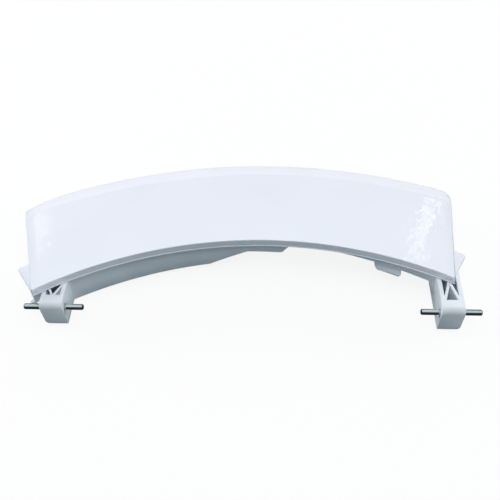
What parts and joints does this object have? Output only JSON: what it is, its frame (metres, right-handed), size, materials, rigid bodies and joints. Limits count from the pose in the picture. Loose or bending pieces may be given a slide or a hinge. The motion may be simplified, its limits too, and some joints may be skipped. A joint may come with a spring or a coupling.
{
  "type": "washing machine door handle",
  "caption": "Arched washing machine door handle: a gloss cover snapped onto a ribbed lever that swings on steel pivot pins in the door frame.",
  "frame": {"origin": "middle of the pivot axis, halfway between the two steel pins", "axes": "+X along the pivot axis to the right as seen from in front of the machine, +Y from the pins towards the convex edge, +Z out of the cover's face"},
  "size_m": [0.2395, 0.1053, 0.022],
  "materials": {
    "gloss_white": "high gloss white with a cool tint",
    "moulded_white": "as moulded, soft satin, cool white",
    "pin_steel": "ground and bright"
  },
  "bodies": {
    "root": {"front_cover": "gloss_white", "lever": "moulded_white", "left_pin": "pin_steel", "right_pin": "pin_steel"}
  },
  "joints": []
}
